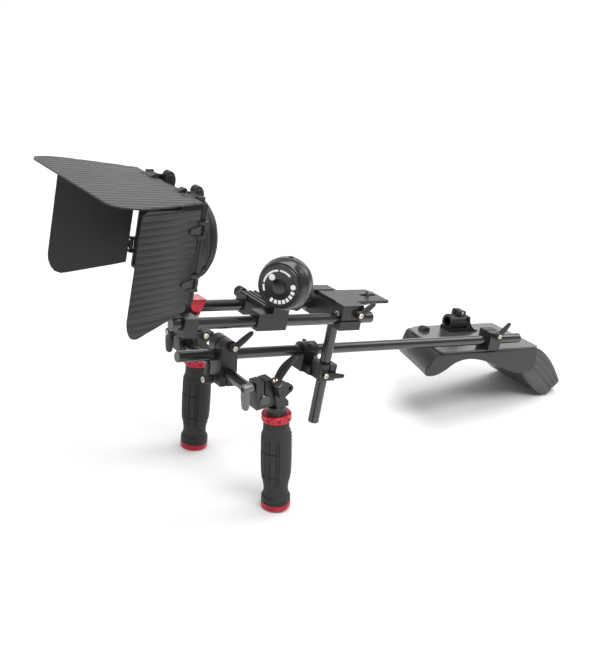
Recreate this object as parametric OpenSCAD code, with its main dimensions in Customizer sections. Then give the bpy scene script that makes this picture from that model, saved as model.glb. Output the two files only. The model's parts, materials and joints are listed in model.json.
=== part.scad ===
/* [Rods] */
// Diameter of every support rod
rod_d = 15; // [14.8:0.05:15.2]
// Length of the two upper rods
upper_rod_len = 305; // [300:5:320]
// Length of the single long lower rod
long_rod_len = 618; // [612:2:624]
// Distance between the axes of the two upper rods
rod_spacing = 60; // [60:0.5:61]
// Length of the upright rod that joins the two levels
upright_len = 172; // [165:1:180]

/* [Stance] */
// How far the rods tip nose-up when the rig stands on its grips and tail
nose_up = 7.5; // [7:0.1:8]
// Height of the upper rods' middle above the floor
rod_height = 242.7; // [242.6:0.1:243.5]

/* [Handles] */
// Lean of the near grip from square to the rods
left_lean = 11.6; // [8:0.1:13]
// Lean of the far grip from square to the rods
right_lean = 7.5; // [6:0.1:10]
// Sideways position of the near grip
left_grip_y = -61; // [-66:1:-56]
// Sideways position of the far grip
right_grip_y = 133; // [128:1:138]
// Length of one grip from red collar to red cap
grip_len = 138; // [136.4:0.1:138]

/* [Matte box] */
// Width of the front frame
frame_w = 141; // [138:1:146]
// Height of the front frame
frame_h = 118; // [116:1:122]
// Length of the top flap
top_flap_len = 131; // [118:1:132]
// Length of each side flap
side_flap_len = 98; // [90:1:100]
// Outward splay of the side flaps
flap_splay = 19; // [17:1:25]

/* [Follow focus] */
// Diameter of the hand wheel
wheel_d = 66; // [60:1:67]
// Length of the hand wheel along its axis
wheel_len = 38; // [34:1:40]

/* [Shoulder support] */
// Thickness of the top plate
plate_t = 3; // [2.5:0.1:4]
// Width of the saddle shell
saddle_w = 112; // [104:1:116]

/* [Hidden] */
$fn = 48;
fit = 0.05;
r_rod = rod_d / 2;
up_y = rod_spacing / 2;
low_y = 36;
low_z = -70;
up_front = -210;
low_front = -152;
upright_x = 59;
upright_bottom = -162;
bar_x = -80.5;
bar_z = -91;
lug_u = 21.5;
lug_w = 12.5;
eye_u = 34;
eye_w = 8.4;
grip_top = -25;
hub_lean = 42;
shift_x = -119.07;
shift_y = -19.06;
frame_x = -217;
axis_z = 98;
frame_t = 7;
wheel_turn = 33;
wheel_x = -88;
wheel_y = -62;
wheel_z = 56;
pad_y = 26;
near_clamp_x = 403;
far_clamp_x = 406;
far_clamp_y = 116;
bolt_x = 108;

// Stands the rods' own frame on the floor.
module rig() {
    translate([shift_x, shift_y, rod_height])
        rotate([0, nose_up, 0])
            children();
}

// Box from one corner to the opposite one.
module block(a, b) {
    translate(a)
        cube([b[0] - a[0], b[1] - a[1], b[2] - a[2]]);
}

// Round bar running rearward.
module fore_aft(d, x0, x1, y, z) {
    translate([x0, y, z])
        rotate([0, 90, 0])
            cylinder(h = x1 - x0, d = d);
}

// Round bar running sideways.
module sideways(d, y0, y1, x, z) {
    translate([x, y0, z])
        rotate([-90, 0, 0])
            cylinder(h = y1 - y0, d = d);
}

// Round bar running upward.
module upward(d, z0, z1, x, y) {
    translate([x, y, z0])
        cylinder(h = z1 - z0, d = d);
}

// Side outline given as x and z, carried across from y0 to y1.
module side_plate(points, y0, y1) {
    translate([0, y1, 0])
        rotate([90, 0, 0])
            linear_extrude(y1 - y0)
                polygon(points);
}

// Plain bar with small chamfers at both ends.
module rod(length) {
    c = 0.8;
    rotate([0, 90, 0])
        rotate_extrude($fn = 64)
            polygon([[0, 0], [r_rod - c, 0], [r_rod, c], [r_rod, length - c],
                [r_rod - c, length], [0, length]]);
}

// Clamping lever with its hub on a sideways axis and its arm in the x-z plane.
module side_lever(x, y_face, z, angle, reach) {
    sideways(6, y_face - 1, y_face + 5, x, z);
    sideways(12, y_face - 7, y_face - 0.3, x, z);
    sideways(7, y_face - 9, y_face - 7, x, z);
    translate([x, 0, z])
        rotate([0, angle, 0]) {
            block([2, y_face - 6, -3], [reach - 4, y_face - 2, 3]);
            sideways(8, y_face - 6, y_face - 2, reach - 4, 0);
        }
}

// Clamping lever with its hub on a fore-and-aft axis, in front of a face.
module front_lever(x_face, y, z, angle, reach) {
    fore_aft(6, x_face - 1, x_face + 8, y, z);
    fore_aft(12, x_face - 15, x_face - 0.3, y, z);
    fore_aft(8, x_face - 20, x_face - 15, y, z);
    translate([0, y, z])
        rotate([angle, 0, 0]) {
            block([x_face - 13, -4, -reach + 4], [x_face - 7, 4, -2]);
            fore_aft(8, x_face - 13, x_face - 7, 0, -reach + 4);
        }
}

module long_rod() {
    color([0.13, 0.13, 0.14])
        rig()
            translate([low_front, low_y, low_z])
                rod(long_rod_len);
}

module handle_block() {
    y0 = low_y - 16;
    y1 = low_y + 16;
    color([0.12, 0.12, 0.13])
        rig()
            difference() {
                union() {
                    side_plate([[-97, -58], [-72, -58], [-64.5, -109], [-90, -109]], y0, y1);
                    sideways(25, y0, y1, -84.5, -58);
                }
                fore_aft(rod_d + 2 * fit, -110, -50, low_y, low_z);
                sideways(rod_d + 2 * fit, y0 - 4, y1 + 4, bar_x, bar_z);
                block([-110, low_y - 1, low_z], [-50, low_y + 1, -40]);
                block([bar_x - 1, y0 - 4, -120], [bar_x + 1, y1 + 4, bar_z]);
                sideways(6.1, y0 - 4, low_y - 2, -81, -54);
                fore_aft(6.1, -100, -81, low_y, -104);
            }
}

module handle_block_lever() {
    color([0.15, 0.15, 0.16])
        rig()
            side_lever(-81, low_y - 16, -54, -42, 29);
}

module cross_bar() {
    color([0.13, 0.13, 0.14])
        rig()
            translate([bar_x, left_grip_y - 7.5, bar_z])
                rotate([0, 0, 90])
                    rod(right_grip_y - left_grip_y + 21);
}

module cross_bar_lever() {
    color([0.15, 0.15, 0.16])
        rig()
            front_lever(-91.8, low_y, -104, 180, 22);
}

// Sets one handle on the cross bar, with the bar's axis at the origin and the grip hanging down.
module handle(y, lean) {
    rig()
        translate([bar_x, y, bar_z])
            rotate([0, -lean, 0])
                children();
}

module left_handle() {
    handle(left_grip_y, left_lean)
        children();
}

module right_handle() {
    handle(right_grip_y, right_lean)
        children();
}

// Split clamp that grips one end of the cross bar, with a lug behind for the bracket.
module joint_clamp() {
    color([0.12, 0.12, 0.13])
        difference() {
            union() {
                block([-12, -6, -11], [12, 12, 26]);
                block([10, -1, lug_w - 8], [lug_u, 7, lug_w + 8]);
                sideways(16, -1, 7, lug_u, lug_w);
            }
            sideways(rod_d + 2 * fit, -10, 16, 0, 0);
            block([-1, -10, 0], [1, 16, 30]);
            fore_aft(6.1, -16, -2, 3, 18);
            sideways(6.1, -4, 10, lug_u, lug_w);
        }
}

module left_joint_clamp() {
    left_handle()
        joint_clamp();
}

module right_joint_clamp() {
    right_handle()
        joint_clamp();
}

module joint_lever() {
    color([0.15, 0.15, 0.16])
        front_lever(-12, 3, 18, 0, 30);
}

module left_joint_lever() {
    left_handle()
        joint_lever();
}

module right_joint_lever() {
    right_handle()
        joint_lever();
}

// Plate that turns about the lug and carries the grip, with an eye at the rear.
module tilt_plate() {
    side_plate([[13.6, 13], [eye_u, eye_w + 6], [eye_u + 5, eye_w], [eye_u + 1.5, eye_w - 5.5],
        [28, -2], [33, -8], [33, -15], [16, -15], [13.6, 2]], -10, -1.4);
    sideways(16, -10, -1.4, lug_u, lug_w);
    sideways(12, -10, -1.4, eye_u, eye_w);
    block([16, -10, -15], [33, 9, -8]);
}

// Moves to the seat of the near joint's lever, whose bolt leans forward.
module hub_seat() {
    translate([15, -14, 22.8])
        rotate([0, -hub_lean, 0])
            children();
}

module left_tilt_bracket() {
    color([0.14, 0.14, 0.15])
        left_handle()
            difference() {
                union() {
                    tilt_plate();
                    sideways(6, -2, 7, lug_u, lug_w);
                    side_plate([[10.3, 18.4], [19.9, 27.1], [26, 20], [27, 8], [14.5, 4]], -20, -8);
                }
                sideways(5.6, -12, 2, eye_u, eye_w);
                hub_seat()
                    translate([0, 0, -8])
                        cylinder(h = 12, d = 6.1);
            }
}

module right_tilt_bracket() {
    color([0.14, 0.14, 0.15])
        right_handle()
            difference() {
                tilt_plate();
                sideways(6.1, -12, 2, lug_u, lug_w);
                sideways(5.6, -12, 2, eye_u, eye_w);
            }
}

// Lever on the slanting bolt above the near joint.
module left_ratchet_lever() {
    color([0.15, 0.15, 0.16])
        left_handle()
            hub_seat() {
                translate([0, 0, -7])
                    cylinder(h = 8, d = 6);
                translate([0, 0, 0.4])
                    cylinder(h = 7.2, d = 14.6);
                block([3, -4.5, 3], [38, 4.5, 8]);
                translate([38, 0, 3])
                    cylinder(h = 5, d = 9);
            }
}

// Pivot bolt of the far joint with a lever that locks its tilt.
module right_ratchet_lever() {
    color([0.15, 0.15, 0.16])
        right_handle() {
            sideways(6, -10.4, 7, lug_u, lug_w);
            sideways(14, -18, -10.3, lug_u, lug_w);
            sideways(8, -20, -18, lug_u, lug_w);
            translate([lug_u, 0, lug_w])
                rotate([0, 184, 0]) {
                    block([2, -17, -4.5], [38, -12, 4.5]);
                    sideways(9, -17, -12, 38, 0);
                }
        }
}

// Moves to the top of a grip's collar.
module left_grip() {
    left_handle()
        translate([lug_u, 0, grip_top - 0.5])
            children();
}

module right_grip() {
    right_handle()
        translate([lug_u, 0, grip_top])
            children();
}

// Core bar through a grip with the flared neck above it.
module grip_stem() {
    color([0.12, 0.12, 0.13])
        rotate_extrude($fn = 48)
            polygon([[0, 9.9], [7, 9.9], [7.5, 6], [12, 0.1], [5, 0.1], [5, -grip_len + 12],
                [0, -grip_len + 12]]);
}

module left_grip_stem() {
    left_grip()
        grip_stem();
}

module right_grip_stem() {
    right_grip()
        grip_stem();
}

module collar() {
    color([0.72, 0.08, 0.14])
        rotate_extrude($fn = 64)
            polygon([[5.05, 0], [18.3, 0], [19.3, -1], [19.3, -9], [18.3, -10], [5.05, -10]]);
}

module left_top_collar() {
    left_grip()
        collar();
}

module right_top_collar() {
    right_grip()
        collar();
}

// Rubber sleeve with a finger-stop comb down its rear.
module sleeve() {
    teeth = 13;
    pitch = 6.2;
    color([0.2, 0.2, 0.2])
        difference() {
            union() {
                rotate_extrude($fn = 64)
                    polygon([[0, -10.05], [17, -10.05], [17, -26], [19.5, -33], [20, -60],
                        [19.5, -88], [17, -99], [16.2, -108], [17, -grip_len + 19.05],
                        [0, -grip_len + 19.05]]);
                for (i = [0 : teeth - 1])
                    translate([14, 9, -25 - i * pitch])
                        rotate([90, 0, 0])
                            linear_extrude(18)
                                polygon([[0, 0], [6.4 - i * 0.2, -1.2], [6.4 - i * 0.2, -2.4],
                                    [0, -pitch + 0.4]]);
            }
            translate([0, 0, -grip_len])
                cylinder(h = grip_len, d = 10.1);
        }
}

module left_grip_sleeve() {
    left_grip()
        sleeve();
}

module right_grip_sleeve() {
    right_grip()
        sleeve();
}

module flange() {
    color([0.1, 0.1, 0.1])
        translate([0, 0, -grip_len])
            rotate_extrude($fn = 64)
                polygon([[5.05, 19], [17, 19], [19, 17], [19, 9.05], [5.05, 9.05]]);
}

module left_grip_flange() {
    left_grip()
        flange();
}

module right_grip_flange() {
    right_grip()
        flange();
}

// Turned end cap, closed at the bottom and dished below.
module cap() {
    color([0.72, 0.08, 0.14])
        translate([0, 0, -grip_len])
            rotate_extrude($fn = 64)
                polygon([[0, 1.2], [10, 1.2], [11, 0], [17, 0], [18.5, 0.8], [19.2, 2.2],
                    [19.2, 7], [18.2, 9], [0, 9]]);
}

module left_bottom_cap() {
    left_grip()
        cap();
}

module right_bottom_cap() {
    right_grip()
        cap();
}

// Right-angle clamp: long rod through one end, upright rod through the other.
module cross_clamp_body() {
    color([0.12, 0.12, 0.13])
        rig()
            difference() {
                union() {
                    block([40, low_y - 12, -97], [64, low_y + 12, low_z - 0.5]);
                    block([upright_x - 12, -12, -97], [upright_x + 12, 12, -74]);
                    block([44, 10, -97], [64, low_y + 14, -86]);
                }
                fore_aft(rod_d + 2 * fit, 30, 90, low_y, low_z);
                upward(rod_d + 2 * fit, -100, -70, upright_x, 0);
                block([upright_x - 1, -14, -100], [upright_x + 1, 0, -70]);
                sideways(6.1, -14, -7.8, upright_x - 9, -87);
            }
}

// Upper half of the long-rod clamp with its two bolts.
module cross_clamp_cap() {
    color([0.14, 0.14, 0.15])
        rig() {
            difference() {
                union() {
                    fore_aft(24, 40, 64, low_y, low_z);
                    for (s = [-1, 1])
                        upward(5.5, low_z + 7, low_z + 12, 52, low_y + s * 8.5);
                }
                fore_aft(rod_d + 2 * fit, 30, 90, low_y, low_z);
                block([30, low_y - 14, -90], [74, low_y + 14, low_z]);
            }
        }
}

module cross_clamp_lever() {
    color([0.15, 0.15, 0.16])
        rig() {
            sideways(6, -13, -8.2, upright_x - 9, -87);
            sideways(11, -19, -12.3, upright_x - 9, -87);
            translate([upright_x - 9, 0, -87])
                rotate([0, 4, 0]) {
                    block([2, -18, -3], [30, -14, 3]);
                    sideways(6, -18, -14, 30, 0);
                }
        }
}

module vertical_rod() {
    color([0.13, 0.13, 0.14])
        rig()
            translate([upright_x, 0, upright_bottom])
                rotate([0, -90, 0])
                    rod(upright_len);
}

module upper_rod_left() {
    color([0.13, 0.13, 0.14])
        rig()
            translate([up_front, -up_y, 0])
                rod(upper_rod_len);
}

module upper_rod_right() {
    color([0.13, 0.13, 0.14])
        rig()
            translate([up_front, up_y, 0])
                rod(upper_rod_len);
}

// Block on both upper rods, with a channel for the camera plate.
module base_block() {
    color([0.12, 0.12, 0.13])
        rig()
            difference() {
                union() {
                    block([36, -42, -13], [70, 42, 16]);
                    block([36, -42, 16], [70, -23.3, 21]);
                    block([36, 23.3, 16], [70, 42, 21]);
                }
                for (s = [-1, 1]) {
                    fore_aft(rod_d + 2 * fit, 20, 80, s * up_y, 0);
                    block([20, s * 39 - 4, -1], [80, s * 39 + 4, 1]);
                }
                upward(rod_d + 2 * fit, -20, 10.5, upright_x, 0);
                sideways(6.1, -50, -37.2, 62, 9);
            }
}

module base_block_lever() {
    color([0.15, 0.15, 0.16])
        rig() {
            sideways(6, -43, -37.4, 62, 9);
            sideways(11, -49, -42.3, 62, 9);
            translate([62, 0, 9])
                rotate([0, -38, 0]) {
                    block([2, -48, -3], [24, -44, 3]);
                    sideways(7, -48, -44, 24, 0);
                }
        }
}

// Sliding plate with a slot for the camera screw.
module camera_plate() {
    color([0.16, 0.16, 0.17])
        rig()
            difference() {
                block([40, -23, 16.1], [127, 23, 20.1]);
                block([98, -3.4, 14], [118, 3.4, 22]);
                for (x = [98, 118])
                    upward(6.8, 14, 22, x, 0);
            }
}

// Captive screw: a necked shank hangs in the plate's slot below the threaded end.
module camera_screw() {
    color([0.75, 0.72, 0.66])
        rig() {
            upward(6.35, 20.6, 27, bolt_x, 0);
            upward(5.2, 15.7, 20.7, bolt_x, 0);
            upward(16, 8, 15.8, bolt_x, 0);
        }
}

// Ribbed bridge that clamps to both upper rods and carries the gearbox.
module follow_bridge() {
    color([0.14, 0.14, 0.15])
        rig()
            difference() {
                union() {
                    block([-92, -40, -9.5], [-48, -20, 13]);
                    block([-72, -22, 8.6], [-48, 22, 14]);
                    block([-74, 19, -10], [-54, 42, 15]);
                    for (i = [0 : 3])
                        block([-72 + i * 7, -20, 13], [-69 + i * 7, 38, 16.5]);
                }
                for (s = [-1, 1])
                    fore_aft(rod_d + 2 * fit, -110, -40, s * up_y, 0);
                block([-110, 37, -1], [-40, 46, 1]);
                sideways(5.1, 34, 46, -64, 10.6);
            }
}

module follow_clamp_knob() {
    color([0.1, 0.1, 0.1])
        rig() {
            sideways(5, 34.5, 43, -64, 10.6);
            sideways(15, 42.3, 54, -64, 10.6);
        }
}

// Sets an item on the hand wheel's axis, with the dial face at the origin.
module wheel_axis() {
    rig()
        translate([wheel_x, wheel_y, wheel_z])
            rotate([0, 0, wheel_turn])
                rotate([0, 90, 0])
                    children();
}

// Upright housing on the bridge with the wheel shaft through its top.
module follow_gearbox() {
    color([0.14, 0.14, 0.15]) {
        rig()
            block([-72, -40, 13.1], [-48, -22, 22]);
        wheel_axis()
            difference() {
                union() {
                    translate([0, 0, wheel_len + 2.5])
                        cylinder(h = 12, d = 34);
                    translate([0, -15, wheel_len + 2.5])
                        cube([wheel_z - 20, 30, 12]);
                }
                cylinder(h = 80, d = 10.1);
            }
    }
}

module follow_shaft() {
    color([0.5, 0.5, 0.5])
        wheel_axis()
            translate([0, 0, 4])
                cylinder(h = 60, d = 10);
}

module follow_hand_wheel() {
    color([0.35, 0.35, 0.36])
        wheel_axis()
            difference() {
                union() {
                    rotate_extrude($fn = 72)
                        polygon([[0, 3], [27, 3], [29, 4], [wheel_d / 2, 16],
                            [wheel_d / 2, wheel_len - 8], [wheel_d / 2 - 3, wheel_len],
                            [0, wheel_len]]);
                    translate([-wheel_d / 2 - 1.5, -2.5, wheel_len - 16])
                        cube([5, 5, 5]);
                }
                translate([0, 0, 4])
                    cylinder(h = 60, d = 10.1);
            }
}

module follow_dial() {
    color([0.07, 0.07, 0.07])
        wheel_axis()
            rotate_extrude($fn = 72)
                polygon([[0, 1.4], [8, 1.4], [9, 0.4], [26, 0], [27, 1], [27, 2.95], [0, 2.95]]);
}

// Toothed gear that meets a lens ring.
module follow_drive_gear() {
    teeth = 40;
    color([0.1, 0.1, 0.1])
        wheel_axis()
            translate([0, 0, wheel_len + 15.5])
                difference() {
                    union() {
                        cylinder(h = 9, r = 15);
                        for (i = [0 : teeth - 1])
                            rotate([0, 0, i * 360 / teeth])
                                translate([14, -0.6, 0])
                                    cube([2.4, 1.2, 9]);
                    }
                    translate([0, 0, -1])
                        cylinder(h = 12, d = 10.1);
                }
}

// Anodised clamp with a slanting rear face that holds the matte box on the far rod.
module matte_rod_clamp() {
    color([0.72, 0.08, 0.14])
        rig()
            difference() {
                side_plate([[-154, 12], [-132.8, 12], [-141, -12], [-154, -12]], 19.2, 41);
                fore_aft(rod_d + 2 * fit, -170, -120, up_y, 0);
                sideways(5.1, 30, 50, -146, 9.6);
            }
}

// Clamp on the near rod with the foot plate that ties the two rods together.
module matte_near_clamp() {
    color([0.12, 0.12, 0.13])
        rig()
            difference() {
                union() {
                    block([-197, -41, -14], [-178, -19, 10]);
                    translate([0, 0, -12])
                        linear_extrude(7)
                            polygon([[-197, -19.5], [-178, -19.5], [-141.2, 19.1], [-154, 19.1],
                                [-190, 0]]);
                }
                fore_aft(rod_d + 2 * fit, -210, -150, -up_y, 0);
            }
}

module matte_clamp_knob() {
    color([0.12, 0.12, 0.13])
        rig() {
            sideways(5, 36, 41.3, -146, 9.6);
            sideways(14, 41.3, 51, -146, 9.6);
        }
}

// Bracket from the foot plate up to the underside of the housing.
module matte_support_arm() {
    color([0.12, 0.12, 0.13])
        rig()
            side_plate([[-186, -4.9], [-166, -4.9], [-166, 4], [-192, 42.9], [-209.9, 42.9],
                [-209.9, 30], [-186, 4]], -10, 10);
}

// Hollow hood: thin square frame at the front, round drum and throat behind it.
module matte_housing() {
    w = frame_w / 2;
    h = frame_h / 2;
    color([0.2, 0.2, 0.2])
        rig()
            difference() {
                union() {
                    block([frame_x, -w, axis_z - h], [frame_x + frame_t, w, axis_z + h]);
                    fore_aft(110, frame_x + frame_t, frame_x + 26, 0, axis_z);
                    fore_aft(98, frame_x + 26, frame_x + 41, 0, axis_z);
                }
                block([frame_x - 1, 4 - w, axis_z - h + 4],
                    [frame_x + frame_t - 3, w - 4, axis_z + h - 4]);
                fore_aft(102, frame_x, frame_x + 22, 0, axis_z);
                fore_aft(88, frame_x, frame_x + 50, 0, axis_z);
            }
}

module matte_adaptor_ring() {
    color([0.1, 0.1, 0.1])
        rig()
            translate([frame_x + 33, 0, axis_z])
                rotate([0, 90, 0])
                    difference() {
                        cylinder(h = 12, d = 87.9);
                        translate([0, 0, -1])
                            cylinder(h = 20, d = 77);
                    }
}

// Hinge lugs on the frame with a pin through each flap's knuckle.
module matte_hinge_pins() {
    w = frame_w / 2;
    top = axis_z + frame_h / 2;
    color([0.16, 0.16, 0.17])
        rig()
            for (s = [-1, 1]) {
                for (d = [-12, 9])
                    block([frame_x - 3.4, s * 50 + d, top + 0.05],
                        [frame_x + 6.5, s * 50 + d + 3, top + 6]);
                sideways(3, s * 50 - 12, s * 50 + 12, frame_x - 1, top + 3);
                for (z = [56, 118]) {
                    for (d = [0, 16])
                        translate([0, s * (w + 2.55), 0])
                            block([frame_x - 4, -2.5, z + d], [frame_x + 7, 2.5, z + d + 4]);
                    upward(2.6, z, z + 20, frame_x - 1.5, s * (w + 2.6));
                }
            }
}

// Ribbed shade over the opening, wider at the front.
module top_flap() {
    top = axis_z + frame_h / 2;
    w = frame_w / 2;
    back = frame_x - 5.8;
    front = frame_x - top_flap_len;
    color([0.42, 0.42, 0.42])
        rig()
            difference() {
                union() {
                    translate([0, 0, top + 2.1])
                        linear_extrude(1.8)
                            for (s = [0, 1])
                                mirror([0, s, 0])
                                    polygon([[back, -1], [back, w + 8], [front + 85, w + 24],
                                        [front + 45, w + 38], [front + 22, w + 41],
                                        [front + 6, w + 35], [front, w + 22], [front, -1]]);
                    for (s = [-1, 1]) {
                        sideways(5.2, s * 50 - 8.6, s * 50 + 8.6, frame_x - 1, top + 3);
                        block([frame_x - 6, s * 50 - 8.6, top + 2.1],
                            [frame_x - 1, s * 50 + 8.6, top + 3.9]);
                    }
                }
                for (s = [-1, 1])
                    sideways(3.1, s * 50 - 12, s * 50 + 12, frame_x - 1, top + 3);
            }
}

// One side shade, hinged on the frame's edge and splayed outward down to a height.
module side_flap(s, low) {
    w = frame_w / 2;
    color([0.3, 0.3, 0.3])
        rig()
            translate([frame_x - 1.5, s * (w + 2.6), 0])
                difference() {
                    union() {
                        rotate([0, 0, -s * flap_splay])
                            translate([0, 0.8, 0])
                                rotate([90, 0, 0])
                                    linear_extrude(1.6)
                                        polygon([[-3.5, low + 21], [24 - side_flap_len, low],
                                            [14 - side_flap_len, low + 0.5],
                                            [6 - side_flap_len, low + 6],
                                            [1 - side_flap_len, low + 18],
                                            [-side_flap_len, low + 30], [-side_flap_len, 146],
                                            [2 - side_flap_len, 153], [8 - side_flap_len, 156.3],
                                            [-3.5, 151.5]]);
                        for (z = [56, 118]) {
                            upward(4.8, z + 4.4, z + 15.6, 0, 0);
                            rotate([0, 0, -s * flap_splay])
                                block([-6, -0.6, z + 4.8], [-1.5, 0.6, z + 15.2]);
                        }
                    }
                    for (z = [56, 118])
                        upward(2.7, z, z + 20, 0, 0);
                }
}

module left_flap() {
    side_flap(-1, 12);
}

module right_flap() {
    side_flap(1, 22);
}

// Humped catches on the frame's top edge that reach back over the drum.
module flap_knobs() {
    top = axis_z + frame_h / 2;
    color([0.12, 0.12, 0.13])
        rig()
            for (s = [-1, 1])
                side_plate([[frame_x + 5.6, top + 0.05], [frame_x + 7.05, top + 0.05],
                    [frame_x + 7.05, top - 6], [frame_x + 19, top - 8], [frame_x + 20, top + 2],
                    [frame_x + 17, top + 9], [frame_x + 11.5, top + 12],
                    [frame_x + 5.6, top + 9]], s * 33 - 4.8, s * 33 + 4.8);
}

module shoulder_plate() {
    color([0.55, 0.55, 0.56])
        rig()
            difference() {
                translate([0, 0, -86.4])
                    linear_extrude(3)
                        polygon([[300, 28], [510, 28], [510, 136], [330, 136], [322, 128]]);
                upward(6.1, -95, -80, near_clamp_x, low_y);
                upward(6.1, -95, -80, far_clamp_x, far_clamp_y);
            }
}

// Saddle shell with an arched hollow that sits on the shoulder.
module shoulder_shell() {
    color([0.25, 0.25, 0.26])
        rig()
            intersection() {
                side_plate([[297, -86.5], [506, -86.5], [512, -108], [508, -122], [500, -127],
                    [474, -127], [440, -117], [400, -103], [362, -97], [335, -101], [312, -113],
                    [303, -118.5], [292, -121], [280, -120.5], [274.5, -116], [274, -109], [287, -93],
                    [292, -88]],
                    pad_y, pad_y + saddle_w);
                translate([0, 0, -130])
                    linear_extrude(60)
                        polygon([[270, pad_y - 1], [520, pad_y - 1], [520, pad_y + saddle_w + 1],
                            [314, pad_y + saddle_w + 1]]);
            }
}

// Curved ribbed tail that hangs behind the shoulder.
module shoulder_tail() {
    color([0.4, 0.4, 0.41])
        rig()
            side_plate([[507.5, -88], [514, -88.5], [534, -98], [557, -116], [575, -136],
                [587, -150], [586, -156], [572, -165.5], [557, -171.4], [541, -167], [526, -158.5],
                [511, -148], [498, -137.5], [489, -127.6], [500.5, -127.5], [508.8, -122.6],
                [512.5, -108]], pad_y, pad_y + saddle_w);
}

module shoulder_near_clamp() {
    color([0.12, 0.12, 0.13])
        rig()
            difference() {
                block([near_clamp_x - 12, low_y - 13, -83.3], [near_clamp_x + 12, low_y + 13, -55]);
                fore_aft(rod_d + 2 * fit, near_clamp_x - 20, near_clamp_x + 20, low_y, low_z);
                block([near_clamp_x - 20, low_y - 1, low_z], [near_clamp_x + 20, low_y + 1, -50]);
                sideways(5.1, low_y - 14, low_y - 1, near_clamp_x, -58.5);
            }
}

module shoulder_far_clamp() {
    y = far_clamp_y;
    color([0.12, 0.12, 0.13])
        rig()
            difference() {
                side_plate([[far_clamp_x - 20, -83.3], [far_clamp_x + 20, -83.3],
                    [far_clamp_x + 20, -70], [far_clamp_x + 14, -56], [far_clamp_x + 8, -50],
                    [far_clamp_x - 6, -50], [far_clamp_x - 6, -56], [far_clamp_x - 20, -57]],
                    y - 13, y + 13);
                fore_aft(rod_d + 2 * fit, far_clamp_x - 30, far_clamp_x + 30, y, low_z);
                block([far_clamp_x - 30, y - 1, low_z], [far_clamp_x + 30, y + 1, -40]);
            }
}

module shoulder_clamp_lever() {
    color([0.15, 0.15, 0.16])
        rig() {
            sideways(5, low_y - 14, low_y - 2, near_clamp_x, -58.5);
            sideways(13, low_y - 20, low_y - 13.3, near_clamp_x, -58.5);
            translate([near_clamp_x, 0, -58.5])
                rotate([0, -50, 0]) {
                    block([2, low_y - 19, -3], [24, low_y - 15, 3]);
                    sideways(7, low_y - 19, low_y - 15, 24, 0);
                }
        }
}

module shoulder_bolts() {
    color([0.7, 0.67, 0.6])
        rig() {
            upward(6, -86.4, -83.4, near_clamp_x, low_y);
            upward(6, -86.4, -83.4, far_clamp_x, far_clamp_y);
        }
}

module shoulder_bumper() {
    color([0.1, 0.1, 0.1])
        rig()
            block([334, 112, -83.3], [350, 124, -77]);
}

long_rod();
handle_block();
handle_block_lever();
cross_bar();
cross_bar_lever();
left_joint_clamp();
left_joint_lever();
left_tilt_bracket();
left_ratchet_lever();
left_grip_stem();
left_top_collar();
left_grip_sleeve();
left_grip_flange();
left_bottom_cap();
right_joint_clamp();
right_joint_lever();
right_tilt_bracket();
right_ratchet_lever();
right_grip_stem();
right_top_collar();
right_grip_sleeve();
right_grip_flange();
right_bottom_cap();
cross_clamp_body();
cross_clamp_cap();
cross_clamp_lever();
vertical_rod();
upper_rod_left();
upper_rod_right();
base_block();
base_block_lever();
camera_plate();
camera_screw();
follow_bridge();
follow_clamp_knob();
follow_gearbox();
follow_shaft();
follow_hand_wheel();
follow_dial();
follow_drive_gear();
matte_rod_clamp();
matte_near_clamp();
matte_clamp_knob();
matte_support_arm();
matte_housing();
matte_adaptor_ring();
matte_hinge_pins();
top_flap();
left_flap();
right_flap();
flap_knobs();
shoulder_plate();
shoulder_shell();
shoulder_tail();
shoulder_near_clamp();
shoulder_clamp_lever();
shoulder_far_clamp();
shoulder_bolts();
shoulder_bumper();
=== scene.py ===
import json
import math
import bmesh
import bpy
from mathutils import Matrix, Vector


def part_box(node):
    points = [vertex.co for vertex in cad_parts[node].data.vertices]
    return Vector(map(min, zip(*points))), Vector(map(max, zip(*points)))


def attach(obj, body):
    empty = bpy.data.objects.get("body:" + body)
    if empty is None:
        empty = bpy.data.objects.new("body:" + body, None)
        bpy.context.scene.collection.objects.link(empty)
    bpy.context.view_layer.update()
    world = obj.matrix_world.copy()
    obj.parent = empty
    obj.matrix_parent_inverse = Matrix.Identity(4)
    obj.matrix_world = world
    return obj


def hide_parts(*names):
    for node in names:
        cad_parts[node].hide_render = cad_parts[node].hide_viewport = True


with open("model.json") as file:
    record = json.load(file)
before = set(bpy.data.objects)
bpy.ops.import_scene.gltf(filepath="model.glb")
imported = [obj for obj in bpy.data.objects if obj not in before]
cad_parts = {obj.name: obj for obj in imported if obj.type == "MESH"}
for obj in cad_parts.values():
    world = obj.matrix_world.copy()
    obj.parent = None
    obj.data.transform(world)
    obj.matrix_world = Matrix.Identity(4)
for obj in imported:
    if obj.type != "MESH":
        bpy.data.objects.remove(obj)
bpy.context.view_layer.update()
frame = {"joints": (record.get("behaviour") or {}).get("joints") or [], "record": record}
CAD = {o.name: o for o in bpy.data.objects if o.type == "MESH"}

# The rods' own frame: AFT runs rearward along the rods, SIDE across, UP square to both.
record = frame["record"]
joint = {j["name"]: j for j in frame["joints"]}
mount = {m["name"]: m for m in record["mounts"]}
AFT = Vector(joint["cross_clamp_slide"]["axis"])
UP = Vector(joint["upright_slide"]["axis"])
SIDE = Vector((0, 1, 0))
# The plate's mount lies this far aft, to the far side and up from that frame's origin, in metres.
MOUNT_AFT, MOUNT_SIDE, MOUNT_UP = 0.075, 0.008, 0.0201
ORIGIN = Vector(mount["camera_face"]["pos_m"]) - AFT * MOUNT_AFT - SIDE * MOUNT_SIDE - UP * MOUNT_UP
MM = 0.001


def axes(origin, x, y, z):
    """Matrix that carries millimetres in the given axes to the row frame."""
    m = Matrix.Identity(4)
    for i, v in enumerate((x, y, z)):
        m.col[i][:3] = v * MM
    m.col[3][:3] = origin
    return m


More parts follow.
